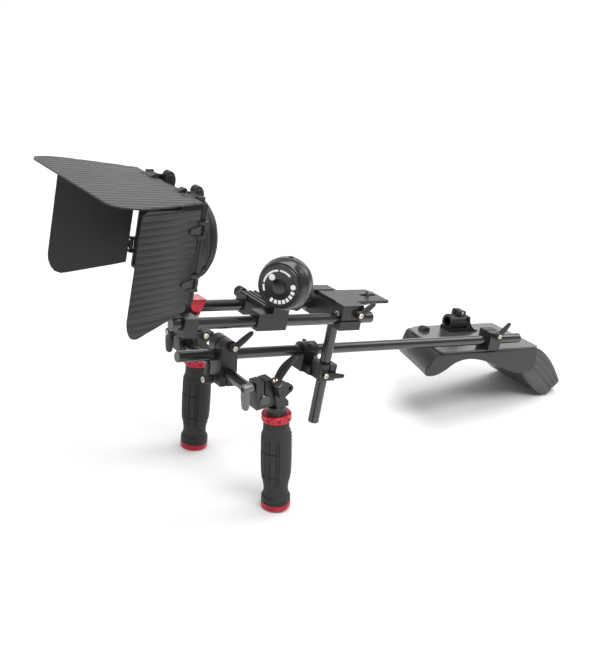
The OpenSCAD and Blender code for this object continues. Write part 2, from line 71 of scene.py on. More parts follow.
RIG = axes(ORIGIN, AFT, SIDE, UP)


# ---------------------------------------------------------------- materials
def shader(name, base, rough, metal=0.0, grain=900.0, bump=0.15, vary=0.2, coat=0.0,
           streak=None, specular=0.5):
    """Procedural finish: colour and roughness wander, with a fine bump."""
    m = bpy.data.materials.new(name)
    m.use_nodes = True
    n, link = m.node_tree.nodes, m.node_tree.links
    bsdf = n["Principled BSDF"]
    bsdf.inputs["Metallic"].default_value = metal
    bsdf.inputs["Coat Weight"].default_value = coat
    bsdf.inputs["Coat Roughness"].default_value = 0.15
    bsdf.inputs["Specular IOR Level"].default_value = specular
    where = n.new("ShaderNodeTexCoord")
    place = n.new("ShaderNodeMapping")
    place.inputs["Scale"].default_value = streak or (1, 1, 1)
    if streak:
        place.inputs["Rotation"].default_value = (0, -math.atan2(UP.x, UP.z), 0)
    link.new(where.outputs["Object"], place.inputs["Vector"])
    slow = n.new("ShaderNodeTexNoise")
    slow.inputs["Scale"].default_value = 35.0
    slow.inputs["Detail"].default_value = 6.0
    link.new(where.outputs["Object"], slow.inputs["Vector"])
    tone = n.new("ShaderNodeValToRGB")
    tone.color_ramp.elements[0].position = 0.3
    tone.color_ramp.elements[1].position = 0.7
    tone.color_ramp.elements[0].color = [c * (1 - vary) for c in base] + [1]
    tone.color_ramp.elements[1].color = [min(1, c * (1 + vary)) for c in base] + [1]
    link.new(slow.outputs["Fac"], tone.inputs["Fac"])
    link.new(tone.outputs["Color"], bsdf.inputs["Base Color"])
    fine = n.new("ShaderNodeTexNoise")
    fine.inputs["Scale"].default_value = grain
    fine.inputs["Detail"].default_value = 4.0
    link.new(place.outputs["Vector"], fine.inputs["Vector"])
    mix = n.new("ShaderNodeMapRange")
    mix.inputs["From Min"].default_value = 0.25
    mix.inputs["From Max"].default_value = 0.75
    mix.inputs["To Min"].default_value = rough * 0.82
    mix.inputs["To Max"].default_value = min(1.0, rough * 1.18)
    blend = n.new("ShaderNodeMath")
    blend.operation = "ADD"
    half = n.new("ShaderNodeMath")
    half.operation = "MULTIPLY"
    half.inputs[1].default_value = 0.5
    link.new(slow.outputs["Fac"], blend.inputs[0])
    link.new(fine.outputs["Fac"], blend.inputs[1])
    link.new(blend.outputs[0], half.inputs[0])
    link.new(half.outputs[0], mix.inputs["Value"])
    link.new(mix.outputs["Result"], bsdf.inputs["Roughness"])
    rise = n.new("ShaderNodeBump")
    rise.inputs["Strength"].default_value = bump
    rise.inputs["Distance"].default_value = 0.0004
    link.new(fine.outputs["Fac"], rise.inputs["Height"])
    link.new(rise.outputs["Normal"], bsdf.inputs["Normal"])
    return m


ROD = shader("rod_black", (0.009, 0.009, 0.0105), 0.2, grain=700, bump=0.05, vary=0.12, coat=0.3,
             streak=(0.05, 1, 1), specular=0.8)
MACHINED = shader("machined_black", (0.007, 0.007, 0.0075), 0.36, grain=1400, bump=0.12, vary=0.2,
                  specular=0.6)
LEVER = shader("lever_black", (0.009, 0.009, 0.0095), 0.42, grain=1100, bump=0.3, vary=0.2)
# A lighter, metallic copy of the black lever finish: painted sheen for a lever that catches the
# light.
LEVER_PAINTED_SHEEN = shader("lever_pale", (0.16, 0.15, 0.15), 0.3, metal=0.3, grain=1100, bump=0.2,
                    vary=0.15)
RED = shader("red_anodised", (0.46, 0.016, 0.034), 0.24, metal=0.7, grain=1500, bump=0.06,
             vary=0.12, coat=0.35)
RUBBER = shader("grip_rubber", (0.02, 0.02, 0.019), 0.7, grain=1800, bump=0.45, vary=0.22)
FLANGE = shader("flange_black", (0.01, 0.01, 0.01), 0.5, grain=1200, bump=0.2, vary=0.2)
STEEL = shader("steel", (0.66, 0.61, 0.52), 0.28, metal=1.0, grain=900, bump=0.12, vary=0.12)
WHEEL = shader("wheel_grey", (0.02, 0.0205, 0.023), 0.24, metal=0.3, grain=1300, bump=0.05,
               vary=0.1, coat=0.3)
DIAL = shader("dial_black", (0.008, 0.008, 0.008), 0.3, grain=1200, bump=0.08, vary=0.15,
              coat=0.2)
MARKS = shader("dial_white", (0.85, 0.85, 0.82), 0.5, grain=1200, bump=0.1, vary=0.04)
GLASSY = shader("dial_centre", (0.006, 0.008, 0.007), 0.12, grain=600, bump=0.02, vary=0.2,
                coat=0.6)
FLAP = shader("flap_grey", (0.011, 0.011, 0.0115), 0.42, grain=1600, bump=0.25, vary=0.15)
HOUSING = shader("housing_black", (0.009, 0.009, 0.0095), 0.42, grain=1300, bump=0.35, vary=0.2)
PLATE = shader("plate_grey", (0.085, 0.085, 0.088), 0.24, metal=0.5, grain=1200, bump=0.05,
               vary=0.08, coat=0.2)
SHELL = shader("shell_grey", (0.011, 0.011, 0.012), 0.34, grain=1200, bump=0.15, vary=0.12,
               coat=0.1)
LEVER_SOFT = shader("lever_ridge", (0.014, 0.014, 0.0145), 0.5, grain=1100, bump=0.2, vary=0.15)
RED_DARK = shader("red_shadow", (0.16, 0.004, 0.012), 0.4, metal=0.5, grain=1500, bump=0.06,
                  vary=0.12)
TICKS = shader("dial_ticks", (0.25, 0.25, 0.24), 0.5, grain=1200, bump=0.1, vary=0.1)
# A lighter copy of the flap finish: painted light on the top shade, which faces the lamps above.
FLAP_PAINTED_TOP_LIGHT = shader("flap_painted_top_light", (0.02, 0.02, 0.0195), 0.42, metal=0.1, grain=1600, bump=0.2,
                  vary=0.12)
# A lighter copy of the shell finish: painted light and highlights on the tail, whose ridged face
# turns up toward the lamps.
SHELL_PAINTED_LIGHT = shader("tail_painted_light", (0.05, 0.05, 0.052), 0.38, grain=1200, bump=0.15, vary=0.12,
                     coat=0.1)
SLOTS = {"rod_black": ROD, "machined_black": MACHINED, "lever_black": LEVER,
         "red_anodised": RED, "grip_rubber": RUBBER, "flange_black": FLANGE, "steel": STEEL,
         "wheel_grey": WHEEL, "dial_black": DIAL, "flap_grey": FLAP,
         "housing_black": HOUSING, "plate_grey": PLATE, "shell_grey": SHELL}


# ------------------------------------------------------------ mesh building
BEVEL_ANGLE = math.radians(32)
SHARP_ANGLE = math.radians(40)


def soften(obj, width):
    """Small rounded edges that catch the light."""
    if width:
        b = obj.modifiers.new("edges", "BEVEL")
        b.width = width * MM
        b.segments = 2
        b.limit_method = "ANGLE"
        b.angle_limit = BEVEL_ANGLE
        b.use_clamp_overlap = True
    obj.data.shade_smooth()
    obj.data.set_sharp_from_angle(angle=SHARP_ANGLE)


def piece(name, shapes, matrix, material, body, stands_for=(), edge=0.0):
    """One object from (vertices, faces) shapes given in millimetres in matrix's axes."""
    verts, faces = [], []
    for v, f in shapes:
        base = len(verts)
        verts += [matrix @ Vector(p) for p in v]
        faces += [[base + i for i in q] for q in f]
    mesh = bpy.data.meshes.new(name)
    mesh.from_pydata(verts, [], faces)
    form = bmesh.new()
    form.from_mesh(mesh)
    bmesh.ops.remove_doubles(form, verts=form.verts, dist=1e-6)
    bmesh.ops.recalc_face_normals(form, faces=form.faces)
    form.to_mesh(mesh)
    form.free()
    obj = bpy.data.objects.new(name, mesh)
    bpy.context.scene.collection.objects.link(obj)
    mesh.materials.append(material)
    soften(obj, edge)
    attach(obj, body)
    if stands_for:
        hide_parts(*stands_for)
    return obj


def prism(outline, low, high, axis="y", warp=None):
    """Flat outline carried from low to high along y or z; warp(x, y, z) bends it."""
    n = len(outline)
    area = sum(outline[i][0] * outline[(i + 1) % n][1] - outline[(i + 1) % n][0] * outline[i][1]
               for i in range(n))
    pts = list(outline) if area > 0 else list(reversed(outline))
    put = {"y": lambda a, b, c: (a, c, b), "z": lambda a, b, c: (a, b, c)}[axis]
    verts = [put(a, b, low) for a, b in pts] + [put(a, b, high) for a, b in pts]
    if warp:
        verts = [warp(*v) for v in verts]
    ring = range(n)
    faces = [list(reversed(ring)), [n + i for i in ring]]
    faces += [[i, (i + 1) % n, n + (i + 1) % n, n + i] for i in ring]
    if axis == "y":
        faces = [list(reversed(f)) for f in faces]
    return verts, faces


def rounded(corners, steps=5):
    """Polygon from (x, y, radius) corners with each corner turned to an arc."""
    out = []
    n = len(corners)
    for i in range(n):
        p = Vector(corners[i][:2])
        r = corners[i][2]
        a = (Vector(corners[i - 1][:2]) - p)
        b = (Vector(corners[(i + 1) % n][:2]) - p)
        reach = min(r, a.length * 0.49, b.length * 0.49)
        if reach < 0.01:
            out.append(tuple(p))
            continue
        a, b = p + a.normalized() * reach, p + b.normalized() * reach
        for k in range(steps + 1):
            t = k / steps
            q = a * (1 - t) ** 2 + p * 2 * t * (1 - t) + b * t ** 2
            out.append((q.x, q.y))
    return out


def smooth_line(points, steps=6):
    """Open curve that passes through the points."""
    pts = [points[0]] + list(points) + [points[-1]]
    out = []
    for i in range(1, len(pts) - 2):
        p0, p1, p2, p3 = (Vector(p) for p in pts[i - 1:i + 3])
        for k in range(steps):
            t = k / steps
            q = 0.5 * (2 * p1 + (p2 - p0) * t + (2 * p0 - 5 * p1 + 4 * p2 - p3) * t * t
                       + (3 * p1 - p0 - 3 * p2 + p3) * t ** 3)
            out.append(tuple(q))
    out.append(tuple(points[-1]))
    return out


def loft(rings, caps=True):
    """Skin over equal rings of points, each ring closed on itself."""
    n = len(rings[0])
    verts = [tuple(p) for ring in rings for p in ring]
    faces = []
    for k in range(len(rings) - 1):
        for i in range(n):
            j = (i + 1) % n
            faces.append([k * n + i, k * n + j, (k + 1) * n + j, (k + 1) * n + i])
    if caps:
        faces.append(list(range(n)))
        faces.append([(len(rings) - 1) * n + i for i in reversed(range(n))])
    return verts, faces


def frame_at(out):
    """Two directions square to out."""
    out = Vector(out).normalized()
    a = out.cross(Vector((0, 0, 1)))
    if a.length < 0.1:
        a = out.cross(Vector((0, 1, 0)))
    a.normalize()
    return out, a, out.cross(a)


def lathe(profile, at=(0, 0, 0), out=(0, 0, 1), steps=48, wave=None):
    """(radius, height) profile turned about out; wave(angle, height) adds to the radius."""
    out, a, b = frame_at(out)
    at = Vector(at)
    rings = []
    for r, h in profile:
        ring = []
        for s in range(steps):
            t = 2 * math.pi * s / steps
            q = max(r + (wave(t, h) if wave else 0), 0.02)
            ring.append(at + out * h + (a * math.cos(t) + b * math.sin(t)) * q)
        rings.append(ring)
    return loft(rings)


def socket_screw(at, out, r, height):
    """Cap screw with a chamfered head and a six-sided socket."""
    steps = 36
    out, a, b = frame_at(out)
    at = Vector(at)

    def ring(radius, h, flats=False):
        pts = []
        for s in range(steps):
            t = 2 * math.pi * s / steps
            q = radius
            if flats:
                q = radius / math.cos((t % (math.pi / 3)) - math.pi / 6)
            pts.append(at + out * h + (a * math.cos(t) + b * math.sin(t)) * q)
        return pts
    return loft([ring(r, 0), ring(r, height - 0.5), ring(r - 0.5, height),
                 ring(r * 0.52, height, True), ring(r * 0.5, height - 1.3, True)])


def bar(sections, out, side):
    """Moulded arm from (centre, width, thickness, roundness) sections."""
    rings = []
    for centre, width, thick, k in sections:
        ring = []
        for s in range(20):
            t = 2 * math.pi * (s + 0.5) / 20
            c, d = math.cos(t), math.sin(t)
            x = math.copysign(abs(c) ** k, c) * width / 2
            y = math.copysign(abs(d) ** k, d) * thick / 2
            ring.append(Vector(centre) + Vector(side) * x + Vector(out) * y)
        rings.append(ring)
    return loft(rings)


# ---------------------------------------------------------------- levers
def lever(name, node, body, matrix, face, out, arm, reach, hub, wide,
          thick=5.0, lift=4.0, cap=7.0, head=3.6, arch=0.0, pale=False):
    """Clamping lever: round hub on a washer, tapered paddle, hexagon-socket screw; the lighter
    paddle option is painted sheen, not a different finish.
    """
    out, arm = Vector(out).normalized(), Vector(arm).normalized()
    side = out.cross(arm)
    face = Vector(face)
    body_shape = lathe([(hub - 1.2, 0.9), (hub, 1.6), (hub, cap - 1.8), (hub - 1.0, cap),
                        (head + 0.5, cap), (head + 0.5, cap - 1.6)], face, out)
    steps = 14
    sections, panel = [], []
    for i in range(steps + 1):
        t = i / steps
        r = reach * t
        swell = 0.82 + 0.34 * math.sin(math.pi * min(1, t * 1.15)) * (1 - 0.25 * t)
        width = wide * swell
        end = max(0.0, (r - (reach - width / 2)) / (width / 2))
        width *= math.sqrt(max(0.02, 1 - end * end))
        deep = thick * (1 - 0.25 * t) * math.sqrt(max(0.05, 1 - end ** 3))
        rise = lift + 0.8 * t + arch * math.sin(math.pi * t)
        centre = face + arm * r + out * rise
        sections.append((centre, width, deep, 0.55))
        if 0.34 < t < 0.93:
            panel.append((centre + out * deep * 0.42, width * 0.5, deep * 0.34, 0.7))
    shapes = [body_shape, bar(sections, out, side)]
    # The lighter option paints the paddle's sheen into its colour and that of its ridge.
    obj = piece(name, shapes, matrix, LEVER_PAINTED_SHEEN if pale else LEVER, body, (node,), 0.25)
    ridge = piece(name + "_ridge", [bar(panel, out, side)], matrix,
                  LEVER_PAINTED_SHEEN if pale else LEVER_SOFT, body)
    screw = piece(name + "_screw", [socket_screw(face + out * (cap - 1.7), out, head, 2.6),
                                    lathe([(hub - 0.4, 0.25), (hub - 0.4, 0.95)], face, out)],
                  matrix, MACHINED if pale else STEEL, body)


def turned(angle):
    """Arm direction of a lever on a sideways axis, turned down from rearward."""
    a = math.radians(angle)
    return Vector((math.cos(a), 0, -math.sin(a)))


# The tilt lug's axis lies this far behind and above the cross bar's, in a grip's own axes.
LUG_U, LUG_W = 21.5, 12.5


def handle_axes(side):
    """Axes at the cross bar, leaning with one grip."""
    swing = Vector(joint[side + "_handle_swing"]["pos_m"])
    tilt = Vector(joint[side + "_handle_tilt"]["pos_m"])
    d = tilt - swing
    lean = math.atan2(d.dot(UP), d.dot(AFT)) - math.atan2(LUG_W, LUG_U)
    u = AFT * math.cos(lean) + UP * math.sin(lean)
    w = UP * math.cos(lean) - AFT * math.sin(lean)
    low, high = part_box(side + "_grip_stem")
    swing.y = (low.y + high.y) / 2
    return axes(swing, u, SIDE, w)


HANDLES = {"left": handle_axes("left"), "right": handle_axes("right")}
GRIP_TOP = -25.0
GRIP_LEN = 138.0
LEAN = math.radians(42)

lever("handle_block_paddle", "handle_block_lever", "block_lever", RIG, (-81, 20, -54),
      (0, -1, 0), turned(-42), 33, 6.2, 8.4)
lever("cross_bar_paddle", "cross_bar_lever", "bar_lever", RIG, (-91.8, 36, -104),
      (-1, 0, 0), (0, 0, 1), 26, 6.0, 9.0, lift=10.5, cap=15.0, head=4.0)
lever("upright_paddle", "cross_clamp_lever", "upright_lever", RIG, (50, -12, -87),
      (0, -1, 0), turned(4), 33, 5.8, 7.0)
lever("base_paddle", "base_block_lever", "base_lever", RIG, (62, -42, 9),
      (0, -1, 0), turned(-38), 27.5, 5.8, 7.6)
lever("shoulder_paddle", "shoulder_clamp_lever", "shoulder_lever", RIG, (403, 23, -58.5),
      (0, -1, 0), turned(-50), 27.5, 6.5, 8.6)
# Only the left joint lever takes the lighter copy of the black finish, a painted sheen.
for s in ("left", "right"):
    lever(s + "_joint_paddle", s + "_joint_lever", s + "_clamp_lever", HANDLES[s],
          (-12, 3, 18), (-1, 0, 0), (0, 0, -1), 30, 6.4, 14.0, thick=8.0, lift=10.4, cap=15.0,
          head=3.4, pale=s == "left")
lever("left_tilt_paddle", "left_ratchet_lever", "left_tilt_lever", HANDLES["left"],
      (15 - 0.4 * math.sin(LEAN), -14, 22.8 + 0.4 * math.cos(LEAN)),
      (-math.sin(LEAN), 0, math.cos(LEAN)), (math.cos(LEAN), 0, math.sin(LEAN)), 40, 7.2, 12.5,
      thick=6.2, lift=4.4, cap=7.6, head=3.8, arch=3.4)
lever("right_tilt_paddle", "right_ratchet_lever", "right_tilt_lever", HANDLES["right"],
      (LUG_U, -10.4, LUG_W), (0, -1, 0), turned(184), 41, 7.2, 9.0, thick=4.6, cap=8.4, head=3.8)


# ----------------------------------------------------------------- grips
def grip_radius(turn, h):
    """Sleeve radius at an angle from the rear and a depth below the collar's top."""
    shape = [(10, 16.6), (22.6, 16.7), (28, 17.6), (32, 19.2), (39.5, 19.5), (62.5, 19.8),
             (83.5, 19.5), (92, 18.9), (100.5, 17.0), (106.6, 16.0), (113, 15.9), (119, 16.8)]
    for (h0, r0), (h1, r1) in zip(shape, shape[1:]):
        if h <= h1:
            t = (h - h0) / (h1 - h0)
            r = r0 + (r1 - r0) * t * t * (3 - 2 * t)
            break
    else:
        r = shape[-1][1]
    rear = min(turn, 2 * math.pi - turn)
    front = math.degrees(math.pi - rear)
    # Comb of finger stops down the rear.
    comb_top, comb_end, pitch, half_angle = 25, 106, 5.4, 30
    tip, rise, widest = 2.3, 0.28, 21.6
    if math.degrees(rear) < half_angle and comb_top < h < comb_end:
        k = ((h - comb_top) / pitch) % 1.0
        tooth = tip * (1 - k) if k > rise else tip * 0.72 * k / rise
        fade = min(1.0, (half_angle - math.degrees(rear)) / 9.0)
        r = min(r + tooth * fade, widest)
    # Raised blocks on the front, parted by grooves down the sleeve and two round it.
    block_top, block_end, block_angle = 33, 102, 66
    if block_top < h < block_end:
        deep = 0.0
        fade = min(1.0, (h - block_top) / 3.0, (block_end - h) / 3.0)
        for line, width, depth in ((12, 1.9, 1.6), (31, 1.9, 1.6), (57, 1.5, 1.3), (67, 1.5, 1.3)):
            deep = max(deep, depth * fade * math.exp(-((front - line) / width) ** 2))
        if front < block_angle:
            side_fade = min(1.0, (block_angle - front) / 4)
            for line in (53, 87):
                deep = max(deep, 1.7 * side_fade * math.exp(-((h - line) / 0.75) ** 2))
        r -= deep
    return r


def grip(side):
    """Grip from neck to cap; its sleeve has grooved blocks in front and a comb at the rear."""
    place = HANDLES[side] @ Matrix.Translation((LUG_U, 0, GRIP_TOP))
    first, last, rows, columns = 10.05, 118.9, 180, 144
    heights = [first + i * (last - first) / rows for i in range(rows + 1)]
    rings = []
    for h in heights:
        ring = []
        for i in range(columns):
            t = 2 * math.pi * i / columns
            r = grip_radius(t, h)
            ring.append((r * math.cos(t), r * math.sin(t), -h))
        rings.append(ring)
    obj = piece(side + "_grip_moulding", [loft(rings)], place, RUBBER, side + "_handle",
                (side + "_grip_sleeve",))
    obj.data.shade_smooth()
    neck = piece(side + "_neck", [lathe(
        [(7.2, 9.8), (10.9, 9.8), (11.6, 9.1), (11.6, 3.4), (12.4, 2.2), (13.4, 0.9), (13.6, 0.15),
         (11, 0.15)], steps=72)], place, MACHINED, side + "_handle", (), 0.2)

    def flutes(t, h):
        return -0.55 if (t * 22 / (2 * math.pi)) % 1.0 < 0.36 and abs(h + 5) > 1.8 else 0.0
    ring = piece(side + "_collar_ring", [lathe(
        [(17.6, 0), (18.6, -0.5), (19.2, -1.4), (19.2, -3.0), (18.5, -3.4), (18.5, -6.6),
         (19.2, -7.0), (19.2, -9.0), (18.4, -10), (17, -10)], steps=220, wave=flutes)],
        place, RED, side + "_handle", (side + "_top_collar",), 0.2)
    studs = []
    for i in range(8):
        t = 2 * math.pi * (i + 0.5) / 8
        studs.append(lathe([(1.5, 0), (1.5, 0.35), (1.1, 0.6), (0.7, 0.6), (0.7, 0.1)],
                           (18.4 * math.cos(t), 18.4 * math.sin(t), -5.0),
                           (math.cos(t), math.sin(t), 0), 20))
    dots = piece(side + "_collar_studs", studs, place, RED_DARK, side + "_handle")
    low = -GRIP_LEN
    skirt = piece(side + "_flange_moulding", [lathe(
        [(15, 19.2), (16.6, 19.0), (18.2, 18.0), (19.0, 16.2), (19.0, 12.4), (18.2, 11.9),
         (18.2, 11.2), (19.0, 10.8), (19.0, 9.1), (16, 9.06)], (0, 0, low), steps=72)],
        place, FLANGE, side + "_handle", (side + "_grip_flange",), 0.15)
    cap = piece(side + "_cap_ring", [lathe(
        [(9, 1.4), (10, 1.2), (11, 0.2), (12, 0), (16.8, 0), (18.2, 0.6), (19.1, 2.0),
         (19.2, 3.0), (18.6, 3.4), (18.6, 5.2), (19.2, 5.6), (19.2, 7.4), (18.4, 8.8),
         (17, 9)], (0, 0, low), steps=96)],
        place, RED, side + "_handle", (side + "_bottom_cap",), 0.15)
    screw = piece(side + "_cap_screw", [socket_screw((0, 0, low + 3.0), (0, 0, -1), 5.2, 2.4)],
                  place, STEEL, side + "_handle")


for s in ("left", "right"):
    grip(s)


# ------------------------------------------------------------- matte box
FRAME_X, AXIS_Z = -217.0, 98.0
FRAME_W, FRAME_H = 141.0, 118.0
STRAP_Y = 50
CATCH_Y = 33
SIDE_HINGE_Z = (66, 128)


def crossings(outline, v):
    """Lowest and highest u where a closed (u, v) outline meets one v."""
    hits = []
    for (u0, v0), (u1, v1) in zip(outline, outline[1:] + outline[:1]):
        if (v0 - v) * (v1 - v) <= 0 and v0 != v1:
            hits.append(u0 + (u1 - u0) * (v - v0) / (v1 - v0))
    return min(hits), max(hits)


def ribbed_sheet(outline, pitch, thick, depth, groove, put, both=False):
    """Flat sheet with grooves along u at every pitch of v; put(u, v, n) sets it in place."""
    lo = min(p[1] for p in outline)
    hi = max(p[1] for p in outline)
    rows = {lo + 0.02: 0.0, hi - 0.02: 0.0}
    v = math.ceil(lo / pitch) * pitch
    while v < hi:
        for dv, cut in ((-groove, 0), (-groove * 0.4, 1), (groove * 0.4, 1), (groove, 0)):
            if lo + 1.5 < v + dv < hi - 1.5:
                rows[v + dv] = depth * cut
        v += pitch
    for _, v in outline:
        if lo + 0.05 < v < hi - 0.05 and all(abs(v - w) > groove * 1.3 for w in rows):
            rows[v] = 0.0
    rings = []
    for v in sorted(rows):
        u0, u1 = crossings(outline, v)
        edge = 0.35
        cut = rows[v]
        back = cut if both else 0.0
        rings.append([put(u0, v, thick / 2 - edge), put(u0 + edge, v, thick / 2 - cut),
                      put(u1 - edge, v, thick / 2 - cut), put(u1, v, thick / 2 - edge),
                      put(u1, v, edge - thick / 2), put(u1 - edge, v, back - thick / 2),
                      put(u0 + edge, v, back - thick / 2), put(u0, v, edge - thick / 2)])
    return loft(rings)


def knuckle(at, along, r, length, bore=1.6):
    """Hollow hinge barrel."""
    steps = 28
    out, a, b = frame_at(along)
    at = Vector(at)

    def ring(radius, h):
        return [at + out * h + (a * math.cos(2 * math.pi * s / steps)
                                + b * math.sin(2 * math.pi * s / steps)) * radius
                for s in range(steps)]
    h = length / 2
    rings = [ring(bore, -h), ring(r - 0.3, -h), ring(r, 0.3 - h), ring(r, h - 0.3),
             ring(r - 0.3, h), ring(bore, h), ring(bore, -h)]
    return loft(rings, False)


def box(a, b):
    """Six-sided block between two corners."""
    (x0, y0, z0), (x1, y1, z1) = a, b
    return prism([(x0, y0), (x1, y0), (x1, y1), (x0, y1)], z0, z1, "z")


def top_shade():
    """Top shade: flared sheet with rounded corners, fore-and-aft ribs, straps and feet."""
    top = AXIS_Z + FRAME_H / 2
    back, front, w = FRAME_X - 5.8, FRAME_X - 131.0, FRAME_W / 2
    half = smooth_line([(back, w + 8), (front + 85, w + 24), (front + 45, w + 38),
                        (front + 22, w + 41), (front + 6, w + 35), (front, w + 22)], 5)
    outline = half + [(u, -v) for u, v in reversed(half)]
    sheet = ribbed_sheet(outline, 10.4, 1.8, 0.85, 1.5, lambda u, v, n: (u, v, top + 3.0 + n), True)
    shapes = [sheet]
    for s in (-1, 1):
        y = s * STRAP_Y
        shapes.append(knuckle((FRAME_X - 1, y, top + 3), (0, 1, 0), 2.6, 17.0))
        strap = rounded([(FRAME_X - 17, y - 4, 3.5), (FRAME_X - 17, y + 4, 3.5),
                         (FRAME_X - 1.5, y + 8.4, 0), (FRAME_X - 1.5, y - 8.4, 0)])
        shapes.append(prism(strap, top + 3.2, top + 4.3, "z"))
        shapes.append(prism([(FRAME_X - 17, top + 3.4), (FRAME_X - 4.2, top + 3.4),
                             (FRAME_X - 3.4, top + 8.2), (FRAME_X - 6.5, top + 8.8)],
                            s * CATCH_Y - 4.4, s * CATCH_Y + 4.4))
    # The top shade takes the lighter copy of the flap finish, which is painted top light.
    obj = piece("top_shade_panel", shapes, RIG, FLAP_PAINTED_TOP_LIGHT, "top_shade", ("top_flap",))
    rivets = []
    for s in (-1, 1):
        for x in (8, 13.5):
            rivets.append(lathe([(1.5, 0), (1.4, 0.35), (0.8, 0.7)],
                                (FRAME_X - x, s * STRAP_Y, top + 4.2), (0, 0, 1), 20))
    piece("top_shade_rivets", rivets, RIG, MACHINED, "top_shade")


def side_shade(s):
    """Side shade with horizontal ribs and two hinge straps, turned outward on its hinge."""
    side = "left" if s < 0 else "right"
    length, splay = 98.0, math.radians(19.0)
    low = 12 if s < 0 else 22
    hinge = Vector((FRAME_X - 1.5, s * (FRAME_W / 2 + 2.6), 0))
    along = Vector((math.cos(splay), -s * math.sin(splay), 0))
    outward = Vector((s * math.sin(splay), math.cos(splay), 0)) * s
    outline = rounded([(-3.5, low + 21, 2), (12 - length, low - 3, 20), (-length, low + 14, 20),
                       (-length, 156.3, 10), (-3.5, 151.5, 2)])

    def put(u, v, n):
        p = hinge + along * u + outward * n
        return (p.x, p.y, v)
    shapes = [ribbed_sheet(outline, 7.6, 1.6, 0.3, 0.9, put)]
    for z in SIDE_HINGE_Z:
        shapes.append(knuckle(hinge + Vector((0, 0, z)), (0, 0, 1), 2.4, 11.0, 1.35))
        strap = []
        for u, half in ((-18, 1.2), (-16, 3.0), (-8, 3.6), (-1.6, 5.0)):
            strap.append([put(u, z - half, 0.5), put(u, z + half, 0.5),
                          put(u, z + half, 1.9), put(u, z - half, 1.9)])
        shapes.append(loft(strap))
    obj = piece(side + "_shade_panel", shapes, RIG, FLAP, side + "_shade", (side + "_flap",))


def housing():
    """Hood body: grooved square frame, stepped round drum behind it and threaded adaptor."""
    w, h = FRAME_W / 2, FRAME_H / 2
    x, z = FRAME_X, AXIS_Z

    def square(hw, hh, r, px):
        pts = rounded([(-hw, -hh, r), (hw, -hh, r), (hw, hh, r), (-hw, hh, r)], 8)
        return [(px, a, z + b) for a, b in pts]

    def circle(r, px):
        n = len(square(1, 1, 0.1, 0))
        return [(px, r * math.cos(a), z + r * math.sin(a)) for a in
                [math.atan2(-1, -1) + 2 * math.pi * (i + 0.5) / n for i in range(n)]]
    rings = [square(w - 3.6, h - 3.6, 2, x), square(w - 0.6, h - 0.6, 3, x),
             square(w, h, 3, x + 0.6), square(w, h, 3, x + 2.4),
             square(w - 0.7, h - 0.7, 3, x + 2.8),
             square(w - 0.7, h - 0.7, 3, x + 3.4), square(w, h, 3, x + 3.8),
             square(w, h, 3, x + 6.2), square(w - 1.0, h - 1.0, 4, x + 7),
             circle(55, x + 7.1), circle(55, x + 13.6), circle(54.2, x + 14), circle(54.2, x + 15),
             circle(55, x + 15.4), circle(55, x + 24.4), circle(53.6, x + 26), circle(49, x + 26.2),
             circle(49, x + 31), circle(48.2, x + 31.6), circle(48.2, x + 33.4),
             circle(49, x + 34), circle(49, x + 39.6), circle(47.6, x + 41), circle(44, x + 41),
             circle(44, x + 22.4), circle(50.6, x + 22), circle(51, x + 5.4), circle(51, x + 4.1),
             square(w - 4.4, h - 4.4, 4, x + 4), square(w - 4, h - 4, 3, x + 3.2),
             square(w - 3.6, h - 3.6, 2, x)]
    obj = piece("hood_housing", [loft(rings, False)], RIG, HOUSING, "matte_box",
                ("matte_housing",))
    trims = []
    for s in (-1, 1):
        for cz in SIDE_HINGE_Z:
            y = s * (w + 0.1)
            lug = rounded([(x + 2.6, cz - 7, 1), (x + 6.6, cz - 5, 1.4), (x + 6.6, cz + 5, 1.4),
                           (x + 2.6, cz + 7, 1)])
            trims.append(prism(lug, min(y, y + s * 4.6), max(y, y + s * 4.6)))
            trims.append(lathe([(1.6, 0), (1.6, 1.0), (1.2, 1.4)], (x + 4.6, s * (w + 4.4), cz),
                               (0, s, 0), 24))
    for a in (-150, 30):
        t = math.radians(a)
        trims.append(lathe([(3.4, 0), (3.4, 5.4), (2.6, 6.2)],
                           (x + 30, 47.8 * math.cos(t), z + 47.8 * math.sin(t)),
                           (0, math.cos(t), math.sin(t)), 24))
    piece("hood_trims", trims, RIG, MACHINED, "matte_box", (), 0.4)
    ribs = []
    for s in (-1, 1):
        t0 = 0 if s > 0 else math.pi
        for i in range(9):
            t = t0 + math.radians(-20 + 5 * i)
            ribs.append(box((x + 26.3, 49 * math.cos(t) - 0.7, z + 49 * math.sin(t) - 0.7),
                            (x + 30.4, 49 * math.cos(t) + 0.7, z + 49 * math.sin(t) + 0.7)))
    piece("hood_ring_ribs", ribs, RIG, HOUSING, "matte_box")
    thread = [(38.5, 0.05), (43.9, 0.05), (43.9, 11.2), (43.2, 11.95), (39.6, 11.95)]
    for i in range(7):
        thread += [(38.5, 11.2 - i * 1.5), (39.2, 10.45 - i * 1.5)]
    n = 96
    ring = []
    for r, d in thread + [(38.5, 0.05)]:
        turns = [2 * math.pi * i / n for i in range(n)]
        ring.append([(x + 33 + d, r * math.cos(t), z + r * math.sin(t)) for t in turns])
    piece("threaded_adaptor", [loft(ring, False)], RIG, MACHINED, "matte_box",
                  ("matte_adaptor_ring",))


